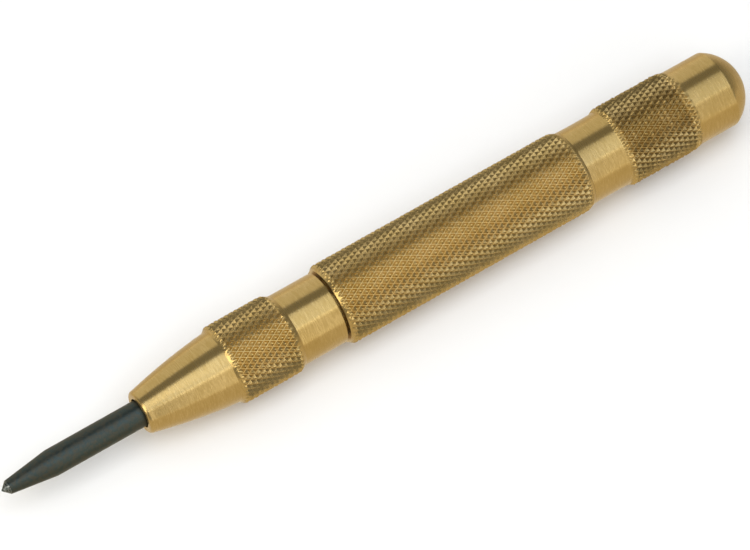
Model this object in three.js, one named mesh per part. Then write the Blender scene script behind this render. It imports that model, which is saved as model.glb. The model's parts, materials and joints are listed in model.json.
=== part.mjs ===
// Automatic (spring-loaded) centre punch, turned brass with a hardened steel point.
// Units are millimetres, +Z is up. The tool lies along X with its tip towards -X, resting on z = 0.
// Stations are distances along the axis from the tip, and the origin is under the middle of the tool.
import * as THREE from 'three';

// Driving dimensions
const TOOL_LENGTH = 130;
const BAND_RADIUS = 6.55; // over the knurls of barrel and cap, the tool's largest radius
const FACETS = 32; // flats round every turned piece
const RUNNING_GAP = 0.3; // between pieces that meet, slide or screw together


// Punch point
const TIP_FLAT_RADIUS = 0.08;
const TIP_CONE_LENGTH = 1.1;
const TIP_CONE_RADIUS = 1.1;
const POINT_TAPER_END = 8.4;
const POINT_RADIUS = 2.1;
const POINT_TAIL_RADIUS = 1.5;
const POINT_TAIL_LENGTH = 6.8;

// Nose piece
const NOSE_FRONT = 23.5;
const NOSE_FLAT_RADIUS = 2.75;
const NOSE_CORNER_END = 24.7;
const NOSE_CORNER_RADIUS = 3.62;
const NOSE_CONE_END = 37.6;
const NOSE_CONE_BULGE = 0.24;
const COLLAR_RADIUS = 5.75;
const NOSE_BAND = { start: 38.4, end: 47.7, radius: 6.4 };
const COLLAR_START = 48.8;
const COLLAR_END = 56.1;
const NOSE_THREAD_RADIUS = 4.8;
const NOSE_THREAD_END = 64;
const NOSE_GUIDE_RADIUS = 2.35;
const NOSE_LEDGE = 31;
const NOSE_BORE_RADIUS = 3.9;

// Barrel
const BARREL_FRONT = 56.5;
const BARREL_FACE_RADIUS = 5.85;
const BARREL_BAND = { start: 57.5, end: 98.8, radius: BAND_RADIUS };
const BARREL_END = 99.7;
const NECK_RADIUS = 6.05;
const BARREL_LEDGE = { start: 66, end: 69.7, hole: 2.4, mouth: 3.0, mouthDepth: 0.8 };
const HAMMER_BORE_RADIUS = 4.4;
const REAR_THREAD_RADIUS = 5.4;
const REAR_THREAD_START = 89.7;

// Adjusting cap
const CAP_THREAD_START = 90.6;
const NECK_START = BARREL_END + RUNNING_GAP;
const NECK_END = 106.5;
const NECK_WAIST = 0.06;
const CAP_BAND = { start: 107.5, end: 118.1, radius: BAND_RADIUS };
const CROWN_START = 119.6;
const CROWN_RADIUS = 6.15;
const DOME_RADIUS = 6.8;
const CAP_BORE_RADIUS = 4.3;
const CAP_BORE_END = 115.3;

// Plunger and trip pin
const PLUNGER_RADIUS = 3.7;
const PLUNGER_RELIEF = { start: 34.5, end: 41, radius: 3.4 };
const PLUNGER_SHOULDER = 44;
const PLUNGER_END = 46;
const PLUNGER_SPIGOT_RADIUS = 2.95;
const PIN_PIVOT = 43;
const SOCKET_RADIUS = 2.5;
const PIN_RADIUS = 2.1;
const PIN_STEM_RADIUS = 0.95;
const PIN_SHOULDER = 57.9;
const PIN_STEM_START = 59.4;
const PIN_END = 69.6;
const PIN_LEAN = THREE.MathUtils.degToRad(2.68); // at rest; upright at the end of the stroke

// Hammer and spring seat
const HAMMER = { start: 70, end: 86, radius: 4.15, hole: 1.25, holeDepth: 10 };
const SPIGOT = { radius: 2.5, length: 2 };
const SEAT = { start: 113.4, end: 115, radius: 4.0 };

// Springs
const RETURN_SPRING = { start: 44.3, end: 65.7, radius: 3.4, wire: 0.6, turns: 9 };
const MAIN_SPRING = { start: 86.3, end: 113.1, radius: 3.4, wire: 1.2, turns: 13 };
const WIRE_SIDES = 6;
const STEPS_PER_TURN = 12;
const END_TURNS = 1; // closed turns at each end of a spring
const CLOSED_PITCH = 1.06; // pitch of the closed turns, in wire diameters

const CHAMFER = 0.4;
const ARC_STEPS = 6;

const brass = () => new THREE.MeshStandardMaterial({ color: 0xb09458, metalness: 1, roughness: 0.35 });
const knurledBrass = () => new THREE.MeshStandardMaterial({ color: 0xaa8241, metalness: 1, roughness: 0.45 });
const blackSteel = () => new THREE.MeshStandardMaterial({ color: 0x3c4442, metalness: 0.9, roughness: 0.4 });
const brightSteel = () => new THREE.MeshStandardMaterial({ color: 0xb8bbbd, metalness: 1, roughness: 0.3 });
const springSteel = () => new THREE.MeshStandardMaterial({ color: 0x8a8d90, metalness: 1, roughness: 0.35 });

const tool = new THREE.Group();

function place(name, geometry, material, station = 0) {
  const mesh = new THREE.Mesh(geometry, material);
  mesh.name = name;
  mesh.position.set(station - TOOL_LENGTH / 2, 0, BAND_RADIUS);
  tool.add(mesh);
  return mesh;
}

// A piece turned on a lathe. The outline is a list of [station, radius]; its flats lie on the stated
// radius and one of them faces straight down.
function turned(outline) {
  const toCorner = 1 / Math.cos(Math.PI / FACETS);
  const points = outline.map(([station, radius]) => new THREE.Vector2(radius * toCorner, station));
  const geometry = new THREE.LatheGeometry(points, FACETS, Math.PI / FACETS);
  geometry.rotateZ(-Math.PI / 2);
  return geometry;
}

// Quarter ellipse between two corners of an outline. It leaves the first one along the radius where
// radiusFirst is true, and along the axis where it is false.
function rounded([fromStation, fromRadius], [toStation, toRadius], radiusFirst) {
  const points = [];
  for (let i = 0; i <= ARC_STEPS; i += 1) {
    const angle = (i / ARC_STEPS) * (Math.PI / 2);
    const fast = Math.sin(angle);
    const slow = 1 - Math.cos(angle);
    const alongStation = radiusFirst ? slow : fast;
    const alongRadius = radiusFirst ? fast : slow;
    points.push([
      fromStation + (toStation - fromStation) * alongStation,
      fromRadius + (toRadius - fromRadius) * alongRadius,
    ]);
  }
  return points;
}

// A stretch that stands out from the straight line between its ends by up to the stated bulge.
function bowed([fromStation, fromRadius], [toStation, toRadius], bulge) {
  const points = [];
  for (let i = 0; i <= ARC_STEPS; i += 1) {
    const u = i / ARC_STEPS;
    points.push([
      fromStation + (toStation - fromStation) * u,
      fromRadius + (toRadius - fromRadius) * u + 4 * bulge * u * (1 - u),
    ]);
  }
  return points;
}

// The cap's end is part of a ball a little wider than the crown, so a faint edge runs round its foot.
function dome() {
  const centre = TOOL_LENGTH - DOME_RADIUS;
  const footAngle = Math.asin(CROWN_RADIUS / DOME_RADIUS);
  const points = [];
  for (let i = 0; i <= ARC_STEPS; i += 1) {
    const angle = footAngle * (1 - i / ARC_STEPS);
    points.push([centre + DOME_RADIUS * Math.cos(angle), DOME_RADIUS * Math.sin(angle)]);
  }
  return points;
}

function band({ start, end, radius }) {
  return [[start, radius], [end, radius]];
}

function punchPoint() {
  const tailEnd = NOSE_LEDGE + POINT_TAIL_LENGTH;
  return turned([
    [0, 0],
    [0, TIP_FLAT_RADIUS],
    [TIP_CONE_LENGTH, TIP_CONE_RADIUS],
    [POINT_TAPER_END, POINT_RADIUS],
    [NOSE_LEDGE, POINT_RADIUS],
    [NOSE_LEDGE, POINT_TAIL_RADIUS],
    [tailEnd - CHAMFER, POINT_TAIL_RADIUS],
    [tailEnd, POINT_TAIL_RADIUS - CHAMFER],
    [tailEnd, 0],
  ]);
}

function nosePiece() {
  return turned([
    [NOSE_FRONT, NOSE_GUIDE_RADIUS],
    ...rounded([NOSE_FRONT, NOSE_FLAT_RADIUS], [NOSE_CORNER_END, NOSE_CORNER_RADIUS], true),
    ...bowed([NOSE_CORNER_END, NOSE_CORNER_RADIUS], [NOSE_CONE_END, COLLAR_RADIUS], NOSE_CONE_BULGE).slice(1),
    ...band(NOSE_BAND),
    [COLLAR_START, COLLAR_RADIUS],
    [COLLAR_END, COLLAR_RADIUS],
    [COLLAR_END, NOSE_THREAD_RADIUS],
    [NOSE_THREAD_END - CHAMFER, NOSE_THREAD_RADIUS],
    [NOSE_THREAD_END, NOSE_THREAD_RADIUS - CHAMFER],
    [NOSE_THREAD_END, NOSE_BORE_RADIUS],
    [NOSE_LEDGE, NOSE_BORE_RADIUS],
    [NOSE_LEDGE, NOSE_GUIDE_RADIUS],
    [NOSE_FRONT, NOSE_GUIDE_RADIUS],
  ]);
}

function barrel() {
  const frontThreadRadius = NOSE_THREAD_RADIUS + RUNNING_GAP;
  const ledge = BARREL_LEDGE;
  return turned([
    [BARREL_FRONT, frontThreadRadius],
    [BARREL_FRONT, BARREL_FACE_RADIUS],
    ...band(BARREL_BAND),
    [BARREL_END, NECK_RADIUS],
    [BARREL_END, REAR_THREAD_RADIUS],
    [REAR_THREAD_START, REAR_THREAD_RADIUS],
    [REAR_THREAD_START, HAMMER_BORE_RADIUS],
    [ledge.end, HAMMER_BORE_RADIUS],
    [ledge.end, ledge.hole],
    [ledge.start + ledge.mouthDepth, ledge.hole],
    [ledge.start, ledge.mouth],
    [ledge.start, frontThreadRadius],
    [BARREL_FRONT, frontThreadRadius],
  ]);
}

function adjustingCap() {
  const threadRadius = REAR_THREAD_RADIUS - RUNNING_GAP;
  const neck = bowed([NECK_START, NECK_RADIUS], [NECK_END, NECK_RADIUS], -NECK_WAIST);
  return turned([
    [CAP_THREAD_START, CAP_BORE_RADIUS],
    [CAP_THREAD_START, threadRadius - CHAMFER],
    [CAP_THREAD_START + CHAMFER, threadRadius],
    [NECK_START, threadRadius],
    ...neck,
    ...band(CAP_BAND),
    [CROWN_START, CROWN_RADIUS],
    ...dome(),
    [CAP_BORE_END, 0],
    [CAP_BORE_END, CAP_BORE_RADIUS],
    [CAP_THREAD_START, CAP_BORE_RADIUS],
  ]);
}

function plunger() {
  const front = NOSE_LEDGE + RUNNING_GAP;
  const tailHoleRadius = POINT_TAIL_RADIUS + RUNNING_GAP;
  const tailHoleEnd = NOSE_LEDGE + POINT_TAIL_LENGTH + RUNNING_GAP;
  const relief = PLUNGER_RELIEF;
  return turned([
    [tailHoleEnd, 0],
    [tailHoleEnd, tailHoleRadius],
    [front, tailHoleRadius],
    [front, PLUNGER_RADIUS - CHAMFER],
    [front + CHAMFER, PLUNGER_RADIUS],
    [relief.start, PLUNGER_RADIUS],
    [relief.start, relief.radius],
    [relief.end, relief.radius],
    [relief.end, PLUNGER_RADIUS],
    [PLUNGER_SHOULDER, PLUNGER_RADIUS],
    [PLUNGER_SHOULDER, PLUNGER_SPIGOT_RADIUS],
    [PLUNGER_END, PLUNGER_SPIGOT_RADIUS],
    [PLUNGER_END, SOCKET_RADIUS],
    ...rounded([PIN_PIVOT, SOCKET_RADIUS], [PIN_PIVOT - SOCKET_RADIUS, 0], false),
  ]);
}

// The pin's own origin is the centre of its ball end.
function tripPin() {
  return turned([
    ...rounded([-PIN_RADIUS, 0], [0, PIN_RADIUS], true),
    [PIN_SHOULDER - PIN_PIVOT, PIN_RADIUS],
    [PIN_STEM_START - PIN_PIVOT, PIN_STEM_RADIUS],
    [PIN_END - PIN_PIVOT, PIN_STEM_RADIUS],
    [PIN_END - PIN_PIVOT, 0],
  ]);
}

function hammer() {
  const { start, end, radius, hole, holeDepth } = HAMMER;
  return turned([
    [start + holeDepth, 0],
    [start + holeDepth, hole],
    [start, hole],
    [start, radius - CHAMFER],
    [start + CHAMFER, radius],
    [end - CHAMFER, radius],
    [end, radius - CHAMFER],
    [end, SPIGOT.radius],
    [end + SPIGOT.length, SPIGOT.radius],
    [end + SPIGOT.length, 0],
  ]);
}

function springSeat() {
  return turned([
    [SEAT.start - SPIGOT.length, 0],
    [SEAT.start - SPIGOT.length, SPIGOT.radius],
    [SEAT.start, SPIGOT.radius],
    [SEAT.start, SEAT.radius],
    [SEAT.end, SEAT.radius],
    [SEAT.end, 0],
  ]);
}

// Centre line of a spring's wire: a helix along X whose first and last turns are closed.
class SpringLine extends THREE.Curve {
  constructor({ start, end, radius, wire, turns }) {
    super();
    this.radius = radius;
    this.turns = turns;
    this.first = start + wire / 2;
    this.closedPitch = wire * CLOSED_PITCH;
    const span = end - start - wire;
    this.openPitch = (span - 2 * END_TURNS * this.closedPitch) / (turns - 2 * END_TURNS);
    this.arcLengthDivisions = turns * STEPS_PER_TURN * 4;
  }

  getPoint(t, target = new THREE.Vector3()) {
    const turn = t * this.turns;
    const leading = Math.min(turn, END_TURNS);
    const trailing = Math.max(turn - (this.turns - END_TURNS), 0);
    const open = turn - leading - trailing;
    const along = this.first + (leading + trailing) * this.closedPitch + open * this.openPitch;
    const angle = turn * 2 * Math.PI;
    return target.set(along, this.radius * Math.cos(angle), this.radius * Math.sin(angle));
  }
}

function spring(size) {
  const section = new THREE.Shape();
  for (let i = 0; i < WIRE_SIDES; i += 1) {
    const angle = (i / WIRE_SIDES) * 2 * Math.PI;
    const x = (size.wire / 2) * Math.cos(angle);
    const y = (size.wire / 2) * Math.sin(angle);
    if (i === 0) {
      section.moveTo(x, y);
    } else {
      section.lineTo(x, y);
    }
  }
  return new THREE.ExtrudeGeometry(section, {
    steps: size.turns * STEPS_PER_TURN,
    extrudePath: new SpringLine(size),
  });
}

place('punch_point', punchPoint(), blackSteel());
place('nose_piece', nosePiece(), brass());
place('barrel', barrel(), knurledBrass());
place('adjusting_cap', adjustingCap(), brass());
place('plunger', plunger(), brightSteel());
place('trip_pin', tripPin(), brightSteel(), PIN_PIVOT).rotation.y = PIN_LEAN;
place('return_spring', spring(RETURN_SPRING), springSteel());
place('hammer', hammer(), brightSteel());
place('main_spring', spring(MAIN_SPRING), springSteel());
place('spring_seat', springSeat(), brightSteel());

export default tool;
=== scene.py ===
"""Automatic centre punch: turned and knurled brass, a hardened steel point, and the works inside.

The file is laid out as an add-on with one operator for each piece or group of like pieces. Stations
are distances in millimetres along the tool's axis from its tip, and radii are in millimetres too.
"""
import json
import math
from collections import namedtuple

import bpy
import numpy as np
from mathutils import Matrix, Vector


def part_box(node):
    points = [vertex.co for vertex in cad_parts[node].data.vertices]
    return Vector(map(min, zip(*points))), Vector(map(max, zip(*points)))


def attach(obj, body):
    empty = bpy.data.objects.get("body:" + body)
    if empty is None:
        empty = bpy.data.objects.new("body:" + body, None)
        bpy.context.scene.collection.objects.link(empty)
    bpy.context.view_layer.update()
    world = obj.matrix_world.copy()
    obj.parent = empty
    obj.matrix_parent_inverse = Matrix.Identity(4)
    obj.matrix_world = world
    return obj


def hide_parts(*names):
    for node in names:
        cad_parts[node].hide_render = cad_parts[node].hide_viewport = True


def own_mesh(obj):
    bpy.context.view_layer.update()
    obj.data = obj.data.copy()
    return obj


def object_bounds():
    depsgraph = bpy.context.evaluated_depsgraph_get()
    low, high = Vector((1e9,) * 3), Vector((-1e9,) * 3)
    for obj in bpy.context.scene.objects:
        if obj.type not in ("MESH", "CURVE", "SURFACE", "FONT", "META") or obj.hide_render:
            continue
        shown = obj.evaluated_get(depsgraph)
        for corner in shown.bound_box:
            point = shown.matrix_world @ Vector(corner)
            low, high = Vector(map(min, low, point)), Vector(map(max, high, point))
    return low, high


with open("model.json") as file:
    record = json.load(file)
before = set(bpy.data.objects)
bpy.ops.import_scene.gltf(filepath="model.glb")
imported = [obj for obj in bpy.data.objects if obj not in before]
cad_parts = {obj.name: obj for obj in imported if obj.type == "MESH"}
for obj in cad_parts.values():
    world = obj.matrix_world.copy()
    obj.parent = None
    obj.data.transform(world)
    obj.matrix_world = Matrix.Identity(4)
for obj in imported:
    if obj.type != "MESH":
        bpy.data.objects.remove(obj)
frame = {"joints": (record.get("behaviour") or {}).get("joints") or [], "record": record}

bl_info = {
    "name": "Automatic Centre Punch",
    "version": (1, 0, 0),
    "blender": (4, 5, 0),
    "location": "View3D > Sidebar > Centre Punch",
    "description": "Builds a knurled brass automatic centre punch round its packed frame",
    "category": "Add Mesh",
}

CAD_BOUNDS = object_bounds()
MM = 0.001

TIP_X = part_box("punch_point")[0].x
AXIS_Z = sum(corner.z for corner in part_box("barrel")) / 2
JOINTS = {joint["name"]: joint for joint in frame["joints"]}
COUPLINGS = {pair["joint"]: pair for pair in frame["record"]["behaviour"]["couplings"]}

Span = namedtuple("Span", "start end radius")
Ring = namedtuple("Ring", "station radius turn row finish")


def span_of(node):
    """First station, last station and largest radius of a CAD node."""
    low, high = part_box(node)
    return Span((low.x - TIP_X) / MM, (high.x - TIP_X) / MM, (high.z - low.z) / 2 / MM)


# What the frame gives
POINT = span_of("punch_point")
NOSE = span_of("nose_piece")
BARREL = span_of("barrel")
CAP = span_of("adjusting_cap")
PLUNGER = span_of("plunger")
HAMMER = span_of("hammer")
SEAT = span_of("spring_seat")
RETURN_SPRING = span_of("return_spring")
MAIN_SPRING = span_of("main_spring")
STROKE = JOINTS["point_press"]["range_m"][1] / MM
PIN_LEAN = COUPLINGS["pin_tilt"]["ratio"] * STROKE * MM
PIN_PIVOT = (JOINTS["pin_tilt"]["pos_m"][0] - TIP_X) / MM

# Shoulders and bands that the frame's boxes don't give
TIP_CONE = Span(0.0, 1.1, 1.1)
TIP_BLUNTING = 0.08
POINT_TAPER_END = 8.4
POINT_TAIL = Span(31.0, POINT.end, 1.5)
NOSE_GUIDE_RADIUS = 2.35
NOSE_FLAT_RADIUS = 3.0
NOSE_CORNER = Span(NOSE.start, 24.2, 3.5)
NOSE_BAND = Span(38.4, 47.7, NOSE.radius)
NOSE_CONE_END = 37.6
NOSE_BORE = Span(POINT_TAIL.start, NOSE.end, 3.9)
COLLAR = Span(48.8, 56.1, 5.75)
NOSE_THREAD = Span(COLLAR.end, NOSE.end, 4.8)
BARREL_FACE_RADIUS = 5.95
BARREL_BAND = Span(57.3, 98.8, BARREL.radius)
BARREL_LEDGE = Span(66.0, 69.7, 2.4)
LEDGE_MOUTH = Span(BARREL_LEDGE.start, BARREL_LEDGE.start + 0.8, 3.0)
HAMMER_BORE_RADIUS = 4.4
FRONT_SOCKET_RADIUS = 5.1
NECK = Span(100.0, 106.5, 6.05)
CLOSED_GAP = 0.03  # the cap is screwed right in, so its neck closes up against the barrel
BARREL_REAR = NECK.start - CLOSED_GAP
REAR_SOCKET = Span(89.7, BARREL_REAR, 5.4)
CAP_THREAD = Span(CAP.start, NECK.start, 5.1)
CAP_BORE = Span(CAP.start, 115.3, 4.3)
CAP_BAND = Span(107.5, 118.1, CAP.radius)
CROWN = Span(119.6, CAP.end, 6.15)
PLUNGER_RELIEF = Span(34.5, 41.0, 3.4)
PLUNGER_SPIGOT = Span(44.0, PLUNGER.end, 2.95)
TAIL_HOLE = Span(PLUNGER.start, 38.1, 1.8)
SOCKET_RADIUS = 2.5
BALL_COLLAR = 0.1  # plain stretch past the middle of the pin's ball and of its socket
PIN_BODY = Span(PIN_PIVOT, 57.9, 2.1)
PIN_STEM = Span(59.4, 69.6, 0.95)
HAMMER_HOLE = Span(HAMMER.start, 80.0, 1.25)
SPIGOT_RADIUS = 2.5
SPIGOT_LENGTH = 2.0
RETURN_WIRE = 0.6
RETURN_TURNS = 9
MAIN_WIRE = 1.2
MAIN_TURNS = 13

# A thread stops short of its shoulder and of its free end, where the piece is turned down
UNDERCUT_LENGTH = 0.5
UNDERCUT_DEPTH = 0.3
THREAD_OFFSET = 0.6
THREAD_LEAD_IN = 0.6
THREAD_CREST = 0.1  # half the crest's width, in pitches
FREE_END = 0.3
CHAMFER_LENGTH = 0.25
CHAMFER_DEPTH = 0.45

# How the meshes are made
ROWS_PER_TOOTH = 8  # mesh rows and columns across one tooth of the knurl
RINGS_PER_THREAD = 12
SMOOTH_COLUMNS = 160
SHARP_ANGLE = math.radians(30)
WIRE_SHARP_ANGLE = math.radians(50)
SEAM = 1.0  # a bored piece's outline begins and ends inside its bore, this far apart
CORNER_STEP = 0.02  # a ring this near a corner keeps the corner's shading sharp
SHADING_GUARD = 0.04  # a ring this far from a knurl keeps the teeth's shading off what is beside it
GROOVE_CLEARANCE = 0.02  # a groove's floor stays this far above the plain parts beside the knurl
AXIS_RADIUS = 1e-9  # anything nearer to the axis than this counts as on it


def linear(hex_colour):
    """A colour in linear light from its sRGB hex value."""
    channels = [int(hex_colour[i:i + 2], 16) / 255 for i in (1, 3, 5)]
    return [c / 12.92 if c <= 0.04045 else ((c + 0.055) / 1.055) ** 2.4 for c in channels]


def opaque(channels):
    """Four channels from three."""
    return (*channels[:3], 1.0)


# Sizes and finishes that a user can change

def length(name, description, millimetres):
    """A length that a user can change, with its default in millimetres."""
    return bpy.props.FloatProperty(
        name=name, description=description, default=millimetres * MM, min=0.0, precision=5,
        subtype="DISTANCE", unit="LENGTH",
    )


def colour(name, description, hex_colour):
    """A colour that a user can change, with its default as an sRGB hex value."""
    return bpy.props.FloatVectorProperty(
        name=name, description=description, default=linear(hex_colour), min=0.0, max=1.0,
        size=3, subtype="COLOR",
    )


def share(name, description, value):
    """A number from 0 to 1 that a user can change."""
    return bpy.props.FloatProperty(
        name=name, description=description, default=value, min=0.0, max=1.0, subtype="FACTOR",
    )


def brightness(name, what, value):
    """How bright a light is, as a number that a user can change."""
    return bpy.props.FloatProperty(
        name=name, description="Brightness of " + what, default=value, min=0.0, subtype="FACTOR",
        soft_max=4.0,
    )


class PunchSizes(bpy.types.PropertyGroup):
    """Sizes that the frame doesn't fix"""

    knurl_pitch: length("Knurl pitch", "Tooth to tooth round the knurl", 1.0)
    knurl_angle: bpy.props.FloatProperty(
        name="Knurl angle", description="Between the knurl's grooves and the tool's axis",
        default=math.radians(30), subtype="ANGLE", unit="ROTATION",
    )
    knurl_depth: length("Knurl depth", "From the teeth's crowns to the groove bottoms", 0.34)
    knurl_floor: share("Groove floor", "Half the groove floor's width, in pitches", 0.055)
    knurl_crown: share("Tooth crown", "Half the flat crown's width, in pitches", 0.09)
    edge_break: length("Edge break", "How far each turned edge is rounded back", 0.12)
    thread_pitch: length("Thread pitch", "Crest to crest along the screw threads", 1.0)
    thread_depth: length("Thread depth", "From the threads' crests to their roots", 0.28)
    nose_bulge: length("Nose bulge", "How far the nose stands out from a straight cone", 0.24)
    neck_waist: length("Neck waist", "How far the neck is drawn in at its middle", 0.06)
    dome_radius: length("Dome radius", "Radius of the cap's domed end", 6.8)


class PunchFinish(bpy.types.PropertyGroup):
    """Colours of the metals, and how their surfaces are worked"""

    brass: colour("Brass", "Clean turned brass", "#C6AB72")
    aged_brass: colour("Aged brass", "Brass where it has been handled", "#BDA164")
    streak_brass: colour("Streaked brass", "Darker streaks between the turning marks", "#A98A48")
    # the knurl grooves' colour: partly tarnish and oil, partly painted shade in the grooves
    groove_tarnish_and_shade: colour("Groove brass", "Tarnish and oil in the knurl's grooves", "#725C33")
    brass_roughness: share("Brass roughness", "Roughness of turned brass", 0.29)
    black_oxide: colour("Black oxide", "Blackened steel of the point", "#3D4643")
    oil_brown: colour("Oil brown", "Where the black oxide has an oily brown cast", "#4D4D44")
    ground_steel: colour("Ground steel", "Bare steel at the ground tip", "#8E9290")
    bright_steel: colour("Bright steel", "Turned steel of the works", "#B9BBBC")
    spring_steel: colour("Spring steel", "Drawn, oiled spring wire", "#85888B")
    mark_spacing: length("Turning marks", "Between the turning marks, drawn coarser than life", 0.15)


class PunchStudio(bpy.types.PropertyGroup):
    """The floor and the lights"""

    floor: colour("Floor", "The plain pale floor", "#ECECEA")
    key_light: brightness("Key softbox", "the softbox above and in front", 1.25)
    front_light: brightness("Front softbox", "the low softbox in front", 0.9)
    back_light: brightness("Back softbox", "the softbox behind", 0.53)
    side_light: brightness("Side softbox", "the softbox at the tip's side", 2.8)
    floor_light: brightness("Floor softbox", "the light that falls on the floor alone", 0.6)
    room_light: brightness("Room", "the room round the softboxes", 0.28)
    table_light: brightness("Table", "the table as the metal reflects it", 0.83)


# Materials

# A Mix node has sockets of the same name for each kind of value, so the colour ones go by number
MIX_SHARE, MIX_FIRST, MIX_SECOND, MIX_RESULT = 0, 6, 7, 2

MARK_ARC = 1.4 * MM  # how far a turning mark runs round before it breaks off


def add_node(tree, kind, inputs=None, output=None, **settings):
    """Adds a node with its own settings, and sets or links its inputs by name or number.

    Returns the node, or one of its outputs where that is named, ready to be linked onwards.
    """
    made = tree.nodes.new(kind)
    for name, value in settings.items():
        setattr(made, name, value)
    for name, value in (inputs or {}).items():
        socket = made.inputs[name]
        if isinstance(value, bpy.types.NodeSocket):
            tree.links.new(value, socket)
        else:
            socket.default_value = value
    return made if output is None else made.outputs[output]


def new_material(name):
    """An empty node material, its surface socket, and the piece's own coordinates in metres."""
    material = bpy.data.materials.new(name)
    material.use_nodes = True
    tree = material.node_tree
    tree.nodes.clear()
    surface = add_node(tree, "ShaderNodeOutputMaterial").inputs["Surface"]
    position = add_node(tree, "ShaderNodeTexCoord", output="Object")
    return material, tree, surface, position


def turning_marks(tree, position, spacing):
    """Fine broken rings left by the lathe tool: noise drawn out round the axis."""
    along = add_node(tree, "ShaderNodeMapping", {
        "Vector": position, "Scale": (1 / spacing, 1 / MARK_ARC, 1 / MARK_ARC),
    }, "Vector")
    return add_node(tree, "ShaderNodeTexNoise", {
        "Vector": along, "Scale": 1.0, "Detail": 3.0, "Roughness": 0.65,
    }, "Fac")


def blotched(tree, position, patch, first, second, low=0.35, high=0.7, detail=3.0):
    """Two colours that change over in soft patches of about the stated size, in metres.

    Returns the patches too, for the roughness and the bump that go with them.
    """
    patches = add_node(tree, "ShaderNodeTexNoise", {
        "Vector": position, "Scale": 1 / patch, "Detail": detail, "Roughness": 0.55,
    }, "Fac")
    amount = add_node(tree, "ShaderNodeMapRange", {
        "Value": patches, "From Min": low, "From Max": high,
    }, "Result")
    tone = add_node(tree, "ShaderNodeMix", {
        MIX_SHARE: amount, MIX_FIRST: opaque(first), MIX_SECOND: opaque(second),
    }, MIX_RESULT, data_type="RGBA")
    return tone, patches


def lathe_turned_brass(finish):
    """Turned brass, satin bright: sharp round the axis, drawn out along it by fine turning rings."""
    material, tree, surface, position = new_material("lathe_turned_brass")
    marks = turning_marks(tree, position, finish.mark_spacing)
    tone, _ = blotched(tree, position, 9 * MM, finish.brass, finish.aged_brass)
    streaks = add_node(tree, "ShaderNodeMapRange", {
        "Value": marks, "From Min": 0.35, "From Max": 0.65, "To Max": 0.45,
    }, "Result")
    streaked = add_node(tree, "ShaderNodeMix", {
        MIX_SHARE: streaks, MIX_FIRST: tone, MIX_SECOND: opaque(finish.streak_brass),
    }, MIX_RESULT, data_type="RGBA")
    roughness = add_node(tree, "ShaderNodeMapRange", {
        "Value": marks, "From Min": 0.3, "From Max": 0.7,
        "To Min": finish.brass_roughness - 0.05, "To Max": finish.brass_roughness + 0.05,
    }, "Result")
    relief = add_node(tree, "ShaderNodeBump", {
        "Height": marks, "Strength": 0.5, "Distance": 0.02 * MM,
    }, "Normal")
    round_axis = add_node(
        tree, "ShaderNodeTangent", output="Tangent", direction_type="RADIAL", axis="X"
    )
    shader = add_node(tree, "ShaderNodeBsdfPrincipled", {
        "Base Color": streaked, "Metallic": 1.0, "Roughness": roughness, "Anisotropic": 0.86,
        "Anisotropic Rotation": 0.25, "Normal": relief, "Tangent": round_axis,
    }, "BSDF")
    tree.links.new(shader, surface)
    return material


def knurled_brass(finish, name, oil):
    """Knurled brass: satin flanks, crowns rubbed clean by hands, and oil, tarnish and painted shade in
    the grooves.

    oil is how far the grooves are darkened, as oil and as painted shade, from 0 to 1. More of it spreads
    on to the crowns as well.
    The specks in it are drawn 0.15 mm across, which is coarser than life, so that they show.
    """
    material, tree, surface, position = new_material(name)
    clean, _ = blotched(tree, position, 4 * MM, finish.brass, finish.aged_brass)
    grain = add_node(tree, "ShaderNodeTexNoise", {
        "Vector": position, "Scale": 1 / (0.15 * MM), "Detail": 2.0, "Roughness": 0.55,
    }, "Fac")
    # the least pointed places, the grooves, are darkened most: partly oil and tarnish, partly painted
    # shade
    crown = add_node(tree, "ShaderNodeNewGeometry", output="Pointiness")
    depth = add_node(tree, "ShaderNodeMapRange", {
        "Value": crown, "From Min": 0.56, "From Max": 0.44, "To Min": 0.5 * oil ** 2, "To Max": oil,
    }, "Result")
    speckle = add_node(tree, "ShaderNodeMapRange", {
        "Value": grain, "From Min": 0.35, "From Max": 0.65, "To Min": 0.6,
    }, "Result")
    tarnish_and_painted_shade = add_node(tree, "ShaderNodeMath", {0: depth, 1: speckle}, "Value", operation="MULTIPLY")
    tone = add_node(tree, "ShaderNodeMix", {
        MIX_SHARE: tarnish_and_painted_shade, MIX_FIRST: clean, MIX_SECOND: opaque(finish.groove_tarnish_and_shade),
    }, MIX_RESULT, data_type="RGBA")
    roughness = add_node(tree, "ShaderNodeMapRange", {
        "Value": grain, "From Min": 0.3, "From Max": 0.7, "To Min": 0.22, "To Max": 0.32,
    }, "Result")
    relief = add_node(tree, "ShaderNodeBump", {
        "Height": grain, "Strength": 0.2, "Distance": 0.02 * MM,
    }, "Normal")
    shader = add_node(tree, "ShaderNodeBsdfPrincipled", {
        "Base Color": tone, "Metallic": 1.0, "Roughness": roughness, "Normal": relief,
    }, "BSDF")
    tree.links.new(shader, surface)
    return material


def black_oxide_steel(finish):
    """Hardened steel, blackened and oiled: nearly neutral, semi-gloss, with faint brown patches."""
    material, tree, surface, position = new_material("black_oxide_steel")
    marks = turning_marks(tree, position, finish.mark_spacing)
    tone, patches = blotched(tree, position, 0.6 * MM, finish.black_oxide, finish.oil_brown,
                             low=0.4, high=0.62, detail=5.0)
    roughness = add_node(tree, "ShaderNodeMapRange", {
        "Value": patches, "From Min": 0.35, "From Max": 0.65, "To Min": 0.34, "To Max": 0.52,
    }, "Result")
    relief = add_node(tree, "ShaderNodeBump", {
        "Height": marks, "Strength": 0.4, "Distance": 0.02 * MM,
    }, "Normal")
    shader = add_node(tree, "ShaderNodeBsdfPrincipled", {
        "Base Color": tone, "Metallic": 1.0, "Roughness": roughness, "Normal": relief,
    }, "BSDF")
    tree.links.new(shader, surface)
    return material


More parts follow.
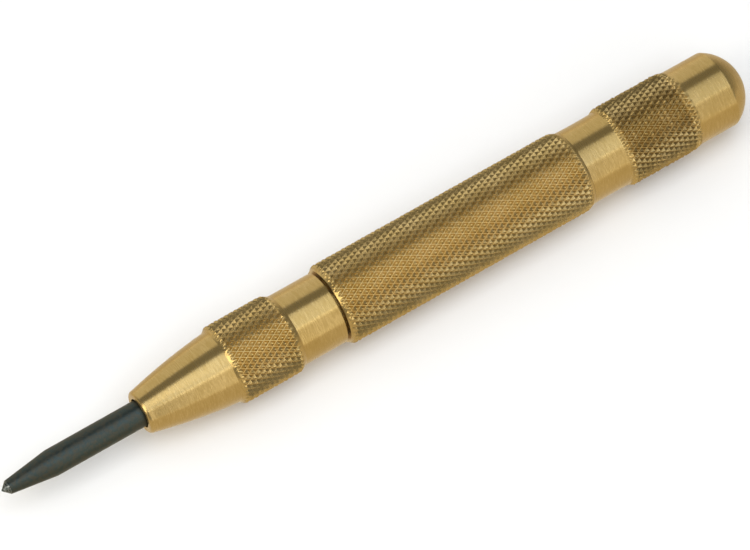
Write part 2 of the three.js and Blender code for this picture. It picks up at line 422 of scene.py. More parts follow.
def ground_tip_steel(finish):
    """The ground cone at the tip: bare grey steel with coarse grinding scratches that glint.

    The scratches are drawn about 0.25 mm apart, which is coarser than life, so that they show.
    """
    material, tree, surface, position = new_material("ground_tip_steel")
    tone, scratches = blotched(tree, position, 0.25 * MM, finish.black_oxide, finish.ground_steel,
                               low=0.42, high=0.62, detail=4.0)
    relief = add_node(tree, "ShaderNodeBump", {
        "Height": scratches, "Strength": 0.5, "Distance": 0.05 * MM,
    }, "Normal")
    shader = add_node(tree, "ShaderNodeBsdfPrincipled", {
        "Base Color": tone, "Metallic": 1.0, "Roughness": 0.32, "Normal": relief,
    }, "BSDF")
    tree.links.new(shader, surface)
    return material


def bright_turned_steel(finish):
    """Bright turned steel for the works: grey, fairly sharp reflections with fine rings."""
    material, tree, surface, position = new_material("bright_turned_steel")
    marks = turning_marks(tree, position, finish.mark_spacing)
    roughness = add_node(tree, "ShaderNodeMapRange", {
        "Value": marks, "From Min": 0.3, "From Max": 0.7, "To Min": 0.22, "To Max": 0.34,
    }, "Result")
    relief = add_node(tree, "ShaderNodeBump", {
        "Height": marks, "Strength": 0.25, "Distance": 0.02 * MM,
    }, "Normal")
    shader = add_node(tree, "ShaderNodeBsdfPrincipled", {
        "Base Color": opaque(finish.bright_steel), "Metallic": 1.0, "Roughness": roughness,
        "Normal": relief,
    }, "BSDF")
    tree.links.new(shader, surface)
    return material


def drawn_spring_wire(finish):
    """Drawn and oiled spring wire: mid grey, a little darker in patches where the oil holds."""
    material, tree, surface, position = new_material("drawn_spring_wire")
    tone, patches = blotched(tree, position, 1.5 * MM, finish.spring_steel, finish.black_oxide, low=0.3)
    roughness = add_node(tree, "ShaderNodeMapRange", {
        "Value": patches, "From Min": 0.3, "From Max": 0.7, "To Min": 0.28, "To Max": 0.4,
    }, "Result")
    shader = add_node(tree, "ShaderNodeBsdfPrincipled", {
        "Base Color": tone, "Metallic": 1.0, "Roughness": roughness,
    }, "BSDF")
    tree.links.new(shader, surface)
    return material


def material_named(name, make, *values):
    """The material of that name, made the first time that a piece asks for it."""
    return bpy.data.materials.get(name) or make(*values)


# Outlines. An outline is a list of rings, each a station with one radius or one for each column.

def plain(*points, finish=0):
    """Rings through an outline's points as they stand."""
    return [Ring(station, radius, None, None, finish) for station, radius in points]


def eased(*points, size, finish=0):
    """The corners of an outline rounded back by up to size, as a file or a touch of the tool does.

    A further ring beyond each end of a rounding keeps its shading off the flats.
    """
    largest_share, beyond = 0.3, 1.5
    eased_points = [points[0]]
    for before, corner, after in zip(points, points[1:], points[2:]):
        here = np.array(corner, float)
        to_before = np.array(before, float) - here
        to_after = np.array(after, float) - here
        before_length, after_length = np.linalg.norm(to_before), np.linalg.norm(to_after)
        cut = min(size, largest_share * before_length, largest_share * after_length)
        start = here + to_before / before_length * cut
        end = here + to_after / after_length * cut
        eased_points.append(tuple(here + to_before / before_length * cut * beyond))
        for t in (0.0, 0.25, 0.5, 0.75, 1.0):
            curved = start * (1 - t) ** 2 + here * 2 * t * (1 - t) + end * t ** 2
            eased_points.append(tuple(curved))
        eased_points.append(tuple(here + to_after / after_length * cut * beyond))
    eased_points.append(points[-1])
    return plain(*eased_points, finish=finish)


def quarter_round(start, end, along_radius_first, steps=10):
    """Points of a quarter ellipse between two corners, which sets off along the radius or the axis."""
    points = []
    for i in range(steps + 1):
        angle = i / steps * math.pi / 2
        fast, slow = math.sin(angle), 1 - math.cos(angle)
        station_share, radius_share = (slow, fast) if along_radius_first else (fast, slow)
        points.append((
            start[0] + (end[0] - start[0]) * station_share,
            start[1] + (end[1] - start[1]) * radius_share,
        ))
    return points


def bowed(start, end, bulge, steps=16):
    """Points of a stretch that stands out from the straight line between its ends."""
    return [
        (
            start[0] + (end[0] - start[0]) * u,
            start[1] + (end[1] - start[1]) * u + 4 * bulge * u * (1 - u),
        )
        for u in (i / steps for i in range(steps + 1))
    ]


def dome(foot_radius, dome_radius, end, steps=18):
    """Points of a ball-shaped end, from its foot to the axis."""
    foot_angle = math.asin(foot_radius / dome_radius)
    angles = [foot_angle * (1 - i / steps) for i in range(steps + 1)]
    return [
        (end - dome_radius + dome_radius * math.cos(a), dome_radius * math.sin(a)) for a in angles
    ]


def knurl_starts(radius, sizes):
    """How many grooves of each hand run round a knurl of that radius."""
    return round(2 * math.pi * radius * MM / sizes.knurl_pitch)


def knurled(foot_start, foot_radius_start, band, foot_end, foot_radius_end, sizes, seed, wear=0.12,
            sharpness=1.0):
    """Rings of a diamond knurl whose ends are turned down by bevels, which cut its teeth short.

    Grooves of both hands cross the mesh's rows and columns diagonally, and the rows and columns are
    drawn together along each groove floor and each crown, so that both come out flat. wear is the
    largest share of its height that a tooth has lost. A sharpness above 1 narrows the crowns and
    cuts the grooves a little deeper, but never down to the plain parts beside the knurl.
    """
    starts = knurl_starts(band.radius, sizes)
    columns = starts * ROWS_PER_TOOTH
    nominal_pitch = sizes.knurl_pitch / MM / math.tan(sizes.knurl_angle)
    rows = round((foot_end - foot_start) / nominal_pitch * ROWS_PER_TOOTH)
    along_pitch = (foot_end - foot_start) / rows * ROWS_PER_TOOTH
    floor, crown = sizes.knurl_floor, 0.5 - sizes.knurl_crown / sharpness
    flank = (floor + crown) / 2
    # places across one tooth, from one groove's middle to the next, and the height at each
    shares = np.array([0, floor, flank, crown, 0.5, 1 - crown, 1 - flank, 1 - floor])
    heights = np.array([0, 0, 0.5, 1, 1, 1, 0.5, 0])
    depth = min(sizes.knurl_depth / MM * sharpness ** 0.25,
                band.radius - max(foot_radius_start, foot_radius_end) - GROOVE_CLEARANCE)
    random = np.random.default_rng(seed)
    worn = 1 - wear * random.random((2 * starts, 2 * rows)) ** 2
    column = np.arange(columns)
    rings = [Ring(foot_start, foot_radius_start, None, 0, 0)]
    for row in range(1, rows):
        one_hand, other_hand = column + row, column - row
        one_tooth, other_tooth = one_hand // ROWS_PER_TOOTH, other_hand // ROWS_PER_TOOTH
        one_step, other_step = one_hand % ROWS_PER_TOOTH, other_hand % ROWS_PER_TOOTH
        one = one_tooth + shares[one_step]
        other = other_tooth + shares[other_step]
        height = np.minimum(heights[one_step], heights[other_step])
        tooth_round, tooth_along = (one_tooth + other_tooth) % (2 * starts), one_tooth - other_tooth
        height = np.minimum(height, worn[tooth_round, tooth_along])
        station = foot_start + (one - other) / 2 * along_pitch
        bevel = np.interp(
            station, [foot_start, band.start, band.end, foot_end],
            [foot_radius_start, band.radius, band.radius, foot_radius_end],
        )
        radius = np.minimum(band.radius - depth * (1 - height), bevel)
        in_band = band.start < station.mean() < band.end
        rings.append(Ring(station, radius, (one + other) / 2 / starts, row, int(in_band)))
    return rings


def threaded(span, columns, sizes):
    """Rings of a right-hand thread that fades out at both ends."""
    pitch = sizes.thread_pitch / MM
    step = pitch / RINGS_PER_THREAD
    share_round = np.arange(columns) / columns
    rings = []
    for i in range(int((span.end - span.start) / step)):
        station = span.start + i * step
        phase = station / pitch - share_round
        from_crest = np.abs(phase - np.round(phase))
        crest = np.clip((0.5 - from_crest) / (0.5 - THREAD_CREST), 0, 1)
        fade = min(1.0, (station - span.start) / THREAD_LEAD_IN, (span.end - station) / THREAD_LEAD_IN)
        radius = span.radius - sizes.thread_depth / MM * (1 - crest * fade)
        rings.append(Ring(station, radius, None, None, 0))
    return rings


# Meshes

def off_axis(ring):
    """Whether a ring is a circle rather than one point on the axis."""
    return np.max(ring.radius) > AXIS_RADIUS


def strip_faces(first, second, first_at, second_at, columns):
    """Triangles between two rings. A ring on the axis is one point, and two of them hold none."""
    here = np.arange(columns)
    there = (here + 1) % columns
    if not off_axis(first) and not off_axis(second):
        return np.empty((0, 3), int)
    if not off_axis(first):
        return np.stack([np.full(columns, first_at), second_at + there, second_at + here], 1)
    if not off_axis(second):
        return np.stack([first_at + here, first_at + there, np.full(columns, second_at)], 1)
    a, b = first_at + here, first_at + there
    c, d = second_at + there, second_at + here
    across = np.zeros(columns, bool)
    if first.row is not None:
        # each cell of a knurl is split along the edge of a groove floor or crown that crosses it
        across = (here - first.row) % 2 == 0
    one = np.where(across[:, None], np.stack([a, b, d], 1), np.stack([a, b, c], 1))
    two = np.where(across[:, None], np.stack([b, c, d], 1), np.stack([a, c, d], 1))
    return np.concatenate([one, two])


def turned(name, rings, columns, materials, closed=False, origin=None):
    """Revolves an outline round the tool's axis, and returns the new piece.

    The outline runs towards the cap on the outside. closed joins its last ring to its first. With an
    origin station, the mesh is made round that point, for a piece that is placed afterwards.
    """
    even_turns = np.arange(columns) / columns
    points, first_index = [], []
    count = 0
    for ring in rings:
        first_index.append(count)
        if off_axis(ring):
            turns = even_turns if ring.turn is None else ring.turn
            stations = np.broadcast_to(ring.station, columns)
            y = ring.radius * np.cos(2 * math.pi * turns)
            z = ring.radius * np.sin(2 * math.pi * turns)
            points.append(np.stack([stations, y, z], 1))
            count += columns
        else:
            points.append(np.array([[ring.station, 0.0, 0.0]]))
            count += 1
    faces, finishes = [], []
    pairs = list(zip(range(len(rings)), range(1, len(rings))))
    if closed:
        pairs.append((len(rings) - 1, 0))
    for i, j in pairs:
        strip = strip_faces(rings[i], rings[j], first_index[i], first_index[j], columns)
        faces.append(strip)
        finishes.append(np.full(len(strip), rings[i].finish))
    vertices = np.concatenate(points) * MM
    if origin is None:
        vertices += (TIP_X, 0.0, AXIS_Z)
    else:
        vertices -= (origin * MM, 0.0, 0.0)
    mesh = bpy.data.meshes.new(name)
    mesh.from_pydata(vertices.tolist(), [], np.concatenate(faces).tolist())
    for material in materials:
        mesh.materials.append(material)
    if len(materials) > 1:
        mesh.polygons.foreach_set("material_index", np.concatenate(finishes).astype(np.int32))
    mesh.shade_smooth()
    mesh.set_sharp_from_angle(angle=SHARP_ANGLE)
    mesh.update()
    piece = bpy.data.objects.new(name, mesh)
    bpy.context.scene.collection.objects.link(piece)
    return piece


def finish_piece(piece, node, body):
    """The piece stands for a CAD node, whose own mesh is hidden, and rides on its body."""
    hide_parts(node)
    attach(piece, body)


def coil(name, span, wire, turns, material):
    """A compression spring with closed end turns, wound from round wire."""
    sides, steps_per_turn, end_turns = 14, 48, 1.0
    end_gap = 0.06  # between the closed turns, in widths of the wire
    mean_radius = span.radius - wire / 2
    closed_pitch = wire * (1 + end_gap)
    open_pitch = (span.end - span.start - wire - 2 * end_turns * closed_pitch) / (turns - 2 * end_turns)
    turn = np.arange(turns * steps_per_turn + 1) / steps_per_turn
    leading = np.minimum(turn, end_turns)
    trailing = np.maximum(turn - (turns - end_turns), 0)
    along = (span.start + wire / 2 + (leading + trailing) * closed_pitch
             + (turn - leading - trailing) * open_pitch)
    angle = 2 * math.pi * turn
    outward = np.stack([np.zeros_like(angle), np.cos(angle), np.sin(angle)], 1)
    centre = mean_radius * outward
    centre[:, 0] = along
    tangent = np.gradient(centre, axis=0)
    tangent /= np.linalg.norm(tangent, axis=1, keepdims=True)
    sideways = np.cross(tangent, outward)
    section = 2 * math.pi * np.arange(sides) / sides
    points = (centre[:, None]
              + wire / 2 * np.cos(section)[None, :, None] * outward[:, None]
              + wire / 2 * np.sin(section)[None, :, None] * sideways[:, None]).reshape(-1, 3)
    faces = []
    for ring in range(len(centre) - 1):
        for side in range(sides):
            low, high = ring * sides, (ring + 1) * sides
            after = (side + 1) % sides
            faces.append((low + side, low + after, high + after, high + side))
    faces.append(tuple(range(sides - 1, -1, -1)))
    faces.append(tuple(len(points) - sides + side for side in range(sides)))
    mesh = bpy.data.meshes.new(name)
    mesh.from_pydata((points * MM + (TIP_X, 0.0, AXIS_Z)).tolist(), [], faces)
    mesh.materials.append(material)
    mesh.shade_smooth()
    mesh.set_sharp_from_angle(angle=WIRE_SHARP_ANGLE)
    mesh.update()
    piece = bpy.data.objects.new(name, mesh)
    bpy.context.scene.collection.objects.link(piece)
    return piece


# Operators

class PunchOperator:
    """What the operators share: undo, and the user's sizes and finishes."""

    bl_options = {"REGISTER", "UNDO"}

    def settings(self, context):
        """The user's sizes, finishes and studio."""
        scene = context.scene
        return scene.punch_sizes, scene.punch_finish, scene.punch_studio

    # oil sets how dark the knurl's grooves are made: partly oil and tarnish, partly painted shade
    def brass_pair(self, finish, knurl="cut_knurl_brass", oil=0.35):
        """Plain brass and knurled brass, in the order that the rings' finishes count them."""
        return [
            material_named("lathe_turned_brass", lathe_turned_brass, finish),
            material_named(knurl, knurled_brass, finish, knurl, oil),
        ]


class PUNCH_OT_add_point(PunchOperator, bpy.types.Operator):
    """Adds the blackened steel point with its ground tip"""

    bl_idname = "punch.add_point"
    bl_label = "Punch Point"

    def execute(self, context):
        sizes, finish, _ = self.settings(context)
        edge = sizes.edge_break / MM
        tip_edge = 0.05
        taper_rise = 0.003  # how much the taper gains over CORNER_STEP
        tail_chamfer = 0.4
        rings = plain((TIP_CONE.start, 0.0), finish=1)
        rings += eased(
            (TIP_CONE.start, TIP_BLUNTING / 2), (TIP_CONE.start + CORNER_STEP, TIP_BLUNTING),
            (TIP_CONE.end, TIP_CONE.radius), size=tip_edge, finish=1,
        )
        rings += eased(
            (TIP_CONE.end + CORNER_STEP, TIP_CONE.radius + taper_rise),
            (POINT_TAPER_END, POINT.radius), (POINT_TAIL.start, POINT.radius),
            (POINT_TAIL.start, POINT_TAIL.radius),
            (POINT_TAIL.start + UNDERCUT_LENGTH, POINT_TAIL.radius), size=edge,
        )
        rings += threaded(
            Span(POINT_TAIL.start + THREAD_OFFSET, POINT_TAIL.end - FREE_END, POINT_TAIL.radius),
            SMOOTH_COLUMNS, sizes,
        )
        rings += plain((POINT_TAIL.end, POINT_TAIL.radius - tail_chamfer), (POINT_TAIL.end, 0.0))
        piece = turned("punch_point_steel", rings, SMOOTH_COLUMNS, [
            material_named("black_oxide_steel", black_oxide_steel, finish),
            material_named("ground_tip_steel", ground_tip_steel, finish),
        ])
        finish_piece(piece, "punch_point", "plunger")
        return {"FINISHED"}


class PUNCH_OT_add_nose(PunchOperator, bpy.types.Operator):
    """Adds the brass nose piece with its cone, knurled band and collar"""

    bl_idname = "punch.add_nose"
    bl_label = "Nose Piece"

    def execute(self, context):
        sizes, finish, _ = self.settings(context)
        edge = sizes.edge_break / MM
        columns = knurl_starts(NOSE_BAND.radius, sizes) * ROWS_PER_TOOTH
        bore_middle = (NOSE_BORE.start + NOSE_BORE.end) / 2
        cone_foot = (NOSE_CORNER.end, NOSE_CORNER.radius)
        cone_fall = 0.005  # how much the cone loses over SHADING_GUARD
        rings = eased(
            (bore_middle, NOSE_BORE.radius), (NOSE_BORE.start, NOSE_BORE.radius),
            (NOSE_BORE.start, NOSE_GUIDE_RADIUS), (NOSE.start, NOSE_GUIDE_RADIUS),
            (NOSE.start, NOSE_FLAT_RADIUS - CORNER_STEP), size=edge / 2,
        )
        rings += plain(*quarter_round((NOSE.start, NOSE_FLAT_RADIUS), cone_foot, True))
        rings += plain(*bowed(cone_foot, (NOSE_CONE_END, COLLAR.radius), sizes.nose_bulge / MM)[1:-1])
        rings += plain((NOSE_CONE_END - SHADING_GUARD, COLLAR.radius - cone_fall))
        rings += knurled(
            NOSE_CONE_END, COLLAR.radius, NOSE_BAND, COLLAR.start, COLLAR.radius, sizes, seed=1
        )
        rings += plain((COLLAR.start, COLLAR.radius))
        rings += eased(
            (COLLAR.start + SHADING_GUARD, COLLAR.radius), (COLLAR.end, COLLAR.radius),
            (COLLAR.end, NOSE_THREAD.radius - UNDERCUT_DEPTH),
            (COLLAR.end + UNDERCUT_LENGTH, NOSE_THREAD.radius - UNDERCUT_DEPTH), size=edge,
        )
        rings += threaded(
            Span(COLLAR.end + THREAD_OFFSET, NOSE.end - FREE_END, NOSE_THREAD.radius), columns, sizes
        )
        rings += eased(
            (NOSE.end - CHAMFER_LENGTH, NOSE_THREAD.radius - UNDERCUT_DEPTH),
            (NOSE.end, NOSE_THREAD.radius - CHAMFER_DEPTH), (NOSE.end, NOSE_BORE.radius),
            (bore_middle + SEAM, NOSE_BORE.radius), size=edge / 2,
        )
        piece = turned("nose_piece_brass", rings, columns, self.brass_pair(finish), closed=True)
        finish_piece(piece, "nose_piece", "barrel")
        return {"FINISHED"}


class PUNCH_OT_add_barrel(PunchOperator, bpy.types.Operator):
    """Adds the knurled brass barrel"""

    bl_idname = "punch.add_barrel"
    bl_label = "Barrel"

    def execute(self, context):
        sizes, finish, _ = self.settings(context)
        edge = sizes.edge_break / MM
        columns = knurl_starts(BARREL_BAND.radius, sizes) * ROWS_PER_TOOTH
        bore_middle = (BARREL_LEDGE.end + REAR_SOCKET.start) / 2
        rings = eased(
            (bore_middle, HAMMER_BORE_RADIUS), (BARREL_LEDGE.end, HAMMER_BORE_RADIUS),
            (BARREL_LEDGE.end, BARREL_LEDGE.radius), (LEDGE_MOUTH.end, BARREL_LEDGE.radius),
            (LEDGE_MOUTH.start, LEDGE_MOUTH.radius), (LEDGE_MOUTH.start, FRONT_SOCKET_RADIUS),
            (BARREL.start, FRONT_SOCKET_RADIUS), (BARREL.start, BARREL_FACE_RADIUS - CORNER_STEP),
            size=edge,
        )
        rings += knurled(
            BARREL.start, BARREL_FACE_RADIUS, BARREL_BAND, BARREL_REAR, NECK.radius, sizes, seed=2
        )
        rings += eased(
            (REAR_SOCKET.end, NECK.radius), (REAR_SOCKET.end, REAR_SOCKET.radius),
            (REAR_SOCKET.start, REAR_SOCKET.radius), (REAR_SOCKET.start, HAMMER_BORE_RADIUS),
            (bore_middle + SEAM, HAMMER_BORE_RADIUS), size=edge / 2,
        )
        piece = turned("barrel_brass", rings, columns, self.brass_pair(finish), closed=True)
        finish_piece(piece, "barrel", "barrel")
        return {"FINISHED"}


class PUNCH_OT_add_cap(PunchOperator, bpy.types.Operator):
    """Adds the brass adjusting cap with its thread, neck, knurled band and domed end"""

    bl_idname = "punch.add_cap"
    bl_label = "Adjusting Cap"

    def execute(self, context):
        sizes, finish, _ = self.settings(context)
        edge = sizes.edge_break / MM
        columns = knurl_starts(CAP_BAND.radius, sizes) * ROWS_PER_TOOTH
        root = CAP_THREAD.radius - sizes.thread_depth / MM
        bore_middle = (CAP_BORE.start + CAP_BORE.end) / 2
        front_edge = Span(CAP.start, CAP.start + 0.2, root - 0.05)
        undercut_start = NECK.start - 0.45
        rings = eased(
            (bore_middle, CAP_BORE.radius), (CAP.start, CAP_BORE.radius),
            (CAP.start, front_edge.radius), (front_edge.end, root), size=edge / 2,
        )
        rings += threaded(
            Span(CAP.start + CHAMFER_LENGTH, NECK.start - UNDERCUT_LENGTH, CAP_THREAD.radius),
            columns, sizes,
        )
        neck_points = bowed((NECK.start, NECK.radius), (NECK.end, NECK.radius), -sizes.neck_waist / MM)
        rings += eased(
            (undercut_start, root), (NECK.start, root), (NECK.start, NECK.radius), neck_points[1],
            size=CLOSED_GAP,
        )
        rings += plain(*neck_points[2:-1], (NECK.end - SHADING_GUARD, NECK.radius))
        rings += knurled(
            NECK.end, NECK.radius, CAP_BAND, CROWN.start, CROWN.radius, sizes, seed=3, wear=0.3,
            sharpness=1.7,
        )
        end_points = dome(CROWN.radius, sizes.dome_radius / MM, CROWN.end)
        rings += plain((CROWN.start, CROWN.radius))
        rings += eased(
            (CROWN.start + SHADING_GUARD, CROWN.radius), end_points[0], end_points[1], size=edge
        )
        rings += plain(*end_points[2:-1], (CROWN.end, 0.0))
        rings += eased(
            (CAP_BORE.end, 0.0), (CAP_BORE.end, CAP_BORE.radius), (bore_middle + SEAM, CAP_BORE.radius),
            size=edge,
        )
        # the cap's knurl is darkened most of all, partly as oil and partly as painted shade
        piece = turned("adjusting_cap_brass", rings, columns,
                       self.brass_pair(finish, "oily_knurl_brass", 0.88), closed=True)
        finish_piece(piece, "adjusting_cap", "adjusting_cap")
        return {"FINISHED"}


class PUNCH_OT_add_works(PunchOperator, bpy.types.Operator):
    """Adds the turned steel works: plunger, trip pin, hammer and spring seat"""

    bl_idname = "punch.add_works"
    bl_label = "Steel Works"

    def execute(self, context):
        sizes, finish, _ = self.settings(context)
        edge = sizes.edge_break / MM
        steel = [material_named("bright_turned_steel", bright_turned_steel, finish)]
        makers = (self.plunger, self.trip_pin, self.hammer, self.spring_seat)
        for node, make in zip(("plunger", "trip_pin", "hammer", "spring_seat"), makers):
            finish_piece(make(node + "_steel", edge, steel), node, node)
        return {"FINISHED"}

    def plunger(self, name, edge, steel):
        """The slide that carries the point, with a round socket for the pin."""
        relief = PLUNGER_RELIEF
        rings = eased(
            (TAIL_HOLE.end, 0.0), (TAIL_HOLE.end, TAIL_HOLE.radius), (PLUNGER.start, TAIL_HOLE.radius),
            (PLUNGER.start, PLUNGER.radius), (relief.start, PLUNGER.radius),
            (relief.start, relief.radius), (relief.end, relief.radius), (relief.end, PLUNGER.radius),
            (PLUNGER_SPIGOT.start, PLUNGER.radius), (PLUNGER_SPIGOT.start, PLUNGER_SPIGOT.radius),
            (PLUNGER.end, PLUNGER_SPIGOT.radius), (PLUNGER.end, SOCKET_RADIUS),
            (PIN_PIVOT + BALL_COLLAR, SOCKET_RADIUS), size=edge * 2,
        )
        socket_bottom = (PIN_PIVOT - SOCKET_RADIUS, 0.0)
        rings += plain(*quarter_round((PIN_PIVOT, SOCKET_RADIUS), socket_bottom, False))
        return turned(name, rings, SMOOTH_COLUMNS, steel)

    def trip_pin(self, name, edge, steel):
        """The pin with its ball end, made upright and then leant over about the ball's centre."""
        ball_end = (PIN_PIVOT - PIN_BODY.radius, 0.0)
        rings = plain(*quarter_round(ball_end, (PIN_PIVOT, PIN_BODY.radius), True))
        rings += eased(
            (PIN_PIVOT + BALL_COLLAR, PIN_BODY.radius), (PIN_BODY.end, PIN_BODY.radius),
            (PIN_STEM.start, PIN_STEM.radius), (PIN_STEM.end, PIN_STEM.radius), (PIN_STEM.end, 0.0),
            size=edge,
        )
        piece = turned(name, rings, SMOOTH_COLUMNS, steel, origin=PIN_PIVOT)
        pivot = Vector(JOINTS["pin_tilt"]["pos_m"])
        piece.matrix_world = Matrix.Translation(pivot) @ Matrix.Rotation(PIN_LEAN, 4, "Y")
        return piece

    def hammer(self, name, edge, steel):
        """The striker, with its blind hole in front and a spigot for the main spring behind."""
        body_end = HAMMER.end - SPIGOT_LENGTH
        rings = eased(
            (HAMMER_HOLE.end, 0.0), (HAMMER_HOLE.end, HAMMER_HOLE.radius),
            (HAMMER.start, HAMMER_HOLE.radius), (HAMMER.start, HAMMER.radius),
            (body_end, HAMMER.radius), (body_end, SPIGOT_RADIUS), (HAMMER.end, SPIGOT_RADIUS),
            (HAMMER.end, 0.0), size=edge * 2,
        )
        return turned(name, rings, SMOOTH_COLUMNS, steel)

    def spring_seat(self, name, edge, steel):
        """The disc behind the main spring, with a spigot that keeps the spring in the middle."""
        disc_start = SEAT.start + SPIGOT_LENGTH
        rings = eased(
            (SEAT.start, 0.0), (SEAT.start, SPIGOT_RADIUS), (disc_start, SPIGOT_RADIUS),
            (disc_start, SEAT.radius), (SEAT.end, SEAT.radius), (SEAT.end, 0.0), size=edge * 2,
        )
        return turned(name, rings, SMOOTH_COLUMNS, steel)


class PUNCH_OT_add_springs(PunchOperator, bpy.types.Operator):
    """Adds the return spring and the main spring, made as they rest; in the tool they close up as the
    point is pressed in
    """

    bl_idname = "punch.add_springs"
    bl_label = "Springs"

    def execute(self, context):
        _, finish, _ = self.settings(context)
        wire = material_named("drawn_spring_wire", drawn_spring_wire, finish)
        springs = (
            ("return_spring", RETURN_SPRING, RETURN_WIRE, RETURN_TURNS, "point_press"),
            ("main_spring", MAIN_SPRING, MAIN_WIRE, MAIN_TURNS, "hammer_slide"),
        )
        for node, span, wire_width, turns, joint in springs:
            piece = coil(node + "_wire", span, wire_width, turns, wire)
            finish_piece(piece, node, "barrel")
            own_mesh(piece)
        return {"FINISHED"}


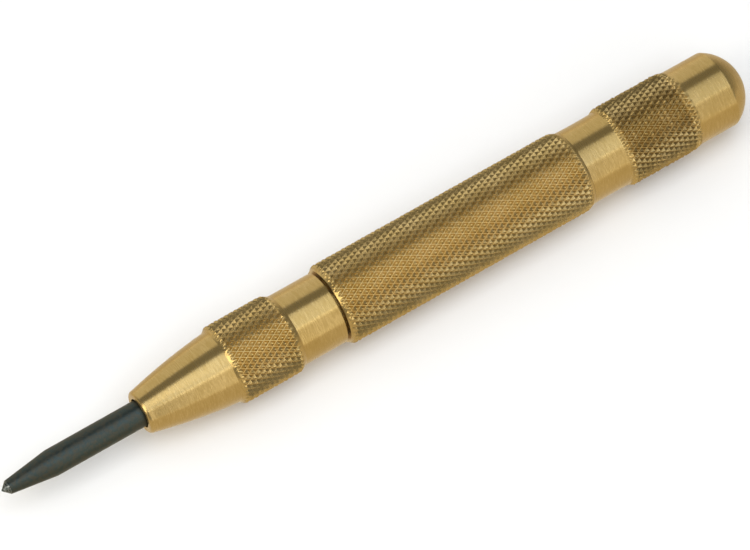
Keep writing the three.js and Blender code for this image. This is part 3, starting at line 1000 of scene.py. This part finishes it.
class PUNCH_OT_add_studio(PunchOperator, bpy.types.Operator):
    """Adds the pale floor, the softboxes and the camera"""

    bl_idname = "punch.add_studio"
    bl_label = "Studio"

    camera_azimuth = math.radians(-33.12)
    camera_elevation = math.radians(59.5)
    camera_distance = 0.7994
    camera_focal_length = 259.2
    aim_right = -0.0004  # the tool's middle sits a little right of the view's
    aim_up = 0.00065  # and a little below it
    clip = (0.01, 20.0)

    def execute(self, context):
        _, _, studio = self.settings(context)
        self.add_floor(studio)
        self.add_room(context, studio)
        self.add_softboxes(studio)
        self.add_camera(context)
        return {"FINISHED"}

    def add_floor(self, studio):
        """Matt pale card: plain, with a faint tooth, drawn coarser than life, so that it isn't a void."""
        material, tree, surface, position = new_material("matt_pale_card")
        tooth = add_node(tree, "ShaderNodeTexNoise", {
            "Vector": position, "Scale": 1 / (1.2 * MM), "Detail": 2.0, "Roughness": 0.55,
        }, "Fac")
        relief = add_node(tree, "ShaderNodeBump", {
            "Height": tooth, "Strength": 0.05, "Distance": 0.05 * MM,
        }, "Normal")
        shader = add_node(tree, "ShaderNodeBsdfPrincipled", {
            "Base Color": opaque(studio.floor), "Roughness": 0.9, "Normal": relief,
        }, "BSDF")
        tree.links.new(shader, surface)
        half = 3.0  # metres
        mesh = bpy.data.meshes.new("studio_floor")
        corners = [(-half, -half, 0.0), (half, -half, 0.0), (half, half, 0.0), (-half, half, 0.0)]
        mesh.from_pydata(corners, [], [(0, 1, 2, 3)])
        mesh.materials.append(material)
        floor = bpy.data.objects.new("studio_floor", mesh)
        floor.visible_glossy = False  # the metal reflects the even table of the room instead
        bpy.context.scene.collection.objects.link(floor)

    def add_room(self, context, studio):
        """An even, dim room above the table's edge, and a paler, warmer glow below it."""
        world = bpy.data.worlds.new("studio_room")
        world.use_nodes = True
        tree = world.node_tree
        edge_blur = 0.02
        direction = add_node(tree, "ShaderNodeTexCoord", output="Generated")
        height = add_node(tree, "ShaderNodeSeparateXYZ", {"Vector": direction}, "Z")
        share_above = add_node(tree, "ShaderNodeMapRange", {
            "Value": height, "From Min": -edge_blur, "From Max": edge_blur,
        }, "Result")
        above = [channel * studio.room_light for channel in linear("#FFFFFF")]
        below = [channel * studio.table_light for channel in linear("#FFF2D8")]
        shade = add_node(tree, "ShaderNodeMix", {
            MIX_SHARE: share_above, MIX_FIRST: opaque(below), MIX_SECOND: opaque(above),
        }, MIX_RESULT, data_type="RGBA")
        tree.links.new(shade, tree.nodes["Background"].inputs["Color"])
        context.scene.world = world

    def add_softboxes(self, studio):
        """Softboxes round the tool, each facing it. The last lights the floor without a reflection."""
        # name, degrees from straight up towards the front, degrees towards the cap, distance,
        # width, height, brightness, colour, reflected
        boxes = (
            ("key_softbox", 16, 3, 0.5, 0.475, 0.455, studio.key_light, "#E7EFFF", True),
            ("front_softbox", 63, 6.5, 0.7, 0.545, 0.72, studio.front_light, "#FFF9EE", True),
            ("back_softbox", -66, 0, 0.8, 1.20, 0.80, studio.back_light, "#FFFCF4", True),
            ("side_softbox", 12, -57, 0.6, 0.30, 0.50, studio.side_light, "#FFF8EC", True),
            ("floor_softbox", 0, 0, 1.2, 2.0, 2.0, studio.floor_light, "#FFFFFF", False),
        )
        for name, lean, side, distance, width, height, power, hex_colour, reflected in boxes:
            lamp = bpy.data.lights.new(name, "AREA")
            lamp.shape = "RECTANGLE"
            lamp.size, lamp.size_y = width, height
            lamp.energy = power * 4 * width * height  # an area lamp shines W/4 per square metre
            lamp.color = linear(hex_colour)
            holder = bpy.data.objects.new(name, lamp)
            lean, side = math.radians(lean), math.radians(side)
            back = Vector((
                math.sin(side), -math.sin(lean) * math.cos(side), math.cos(lean) * math.cos(side),
            ))
            holder.location = Vector((0.0, 0.0, AXIS_Z)) + back * distance
            holder.rotation_mode = "QUATERNION"
            holder.rotation_quaternion = (-back).to_track_quat("-Z", "Y")
            holder.visible_camera = False
            holder.visible_glossy = reflected
            bpy.context.scene.collection.objects.link(holder)

    def add_camera(self, context):
        """A long lens from the front left and above, level with the horizon."""
        azimuth, elevation = self.camera_azimuth, self.camera_elevation
        back = Vector((
            math.sin(azimuth) * math.cos(elevation), -math.cos(azimuth) * math.cos(elevation),
            math.sin(elevation),
        ))
        right = Vector((math.cos(azimuth), math.sin(azimuth), 0.0))
        up = back.cross(right)
        low, high = CAD_BOUNDS
        aim = (low + high) / 2 + right * self.aim_right + up * self.aim_up
        camera = bpy.data.objects.new("camera", bpy.data.cameras.new("camera"))
        camera.data.lens = self.camera_focal_length
        camera.data.clip_start, camera.data.clip_end = self.clip
        camera.location = aim + back * self.camera_distance
        camera.rotation_mode = "QUATERNION"
        camera.rotation_quaternion = (-back).to_track_quat("-Z", "Y")
        bpy.context.scene.collection.objects.link(camera)
        context.scene.camera = camera
        context.scene.view_settings.view_transform = "Standard"


class PUNCH_PT_panel(bpy.types.Panel):
    """Lists the pieces and the sizes and finishes that they are made with"""

    bl_idname = "PUNCH_PT_panel"
    bl_label = "Centre Punch"
    bl_space_type = "VIEW_3D"
    bl_region_type = "UI"
    bl_category = "Centre Punch"

    def draw(self, context):
        """One button for each operator, then one box for each group of settings."""
        layout = self.layout
        scene = context.scene
        for operator in OPERATORS:
            layout.operator(operator.bl_idname)
        for group in (scene.punch_sizes, scene.punch_finish, scene.punch_studio):
            box = layout.box()
            for name in group.__annotations__:
                box.prop(group, name)


OPERATORS = (
    PUNCH_OT_add_point,
    PUNCH_OT_add_nose,
    PUNCH_OT_add_barrel,
    PUNCH_OT_add_cap,
    PUNCH_OT_add_works,
    PUNCH_OT_add_springs,
    PUNCH_OT_add_studio,
)
GROUPS = {"punch_sizes": PunchSizes, "punch_finish": PunchFinish, "punch_studio": PunchStudio}


def register():
    """Makes the property groups, the operators and the panel known to Blender."""
    for name, group in GROUPS.items():
        bpy.utils.register_class(group)
        setattr(bpy.types.Scene, name, bpy.props.PointerProperty(type=group))
    for operator in OPERATORS:
        bpy.utils.register_class(operator)
    bpy.utils.register_class(PUNCH_PT_panel)


def unregister():
    """Takes them out again, in the opposite order."""
    bpy.utils.unregister_class(PUNCH_PT_panel)
    for operator in reversed(OPERATORS):
        bpy.utils.unregister_class(operator)
    for name, group in GROUPS.items():
        delattr(bpy.types.Scene, name)
        bpy.utils.unregister_class(group)


def main():
    """Builds everything in order."""
    register()
    bpy.ops.punch.add_point()
    bpy.ops.punch.add_nose()
    bpy.ops.punch.add_barrel()
    bpy.ops.punch.add_cap()
    bpy.ops.punch.add_works()
    bpy.ops.punch.add_springs()
    bpy.ops.punch.add_studio()


if __name__ == "__main__":
    main()
